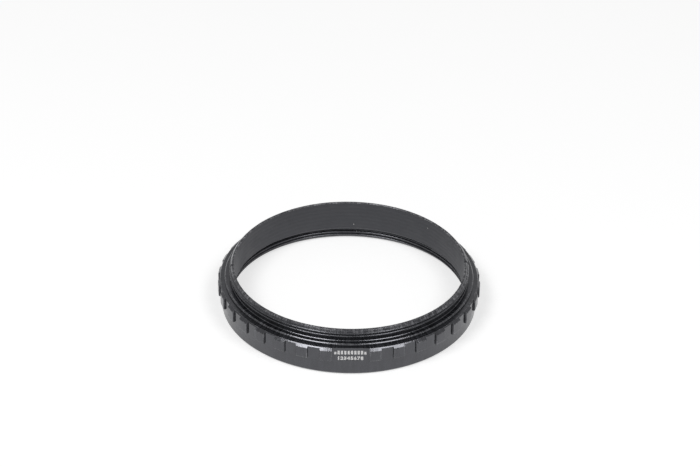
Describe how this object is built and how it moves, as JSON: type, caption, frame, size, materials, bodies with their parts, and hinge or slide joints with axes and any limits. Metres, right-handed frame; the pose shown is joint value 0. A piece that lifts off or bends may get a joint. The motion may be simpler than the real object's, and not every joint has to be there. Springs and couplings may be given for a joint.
{
  "type": "extension tube",
  "caption": "Short black ring with an internal thread in its base, an external thread on its collar and a milled grip band, which adds a set spacing to an optical train.",
  "frame": {"origin": "centre of the base face, on the optical axis", "axes": "+Z along the optical axis towards the external thread, -Y towards the label window"},
  "size_m": [0.0592, 0.059, 0.0102],
  "materials": {
    "anodised_aluminium": "satin black anodised, with turned and milled surfaces"
  },
  "bodies": {
    "root": {"tube_ring": "anodised_aluminium"}
  },
  "joints": []
}
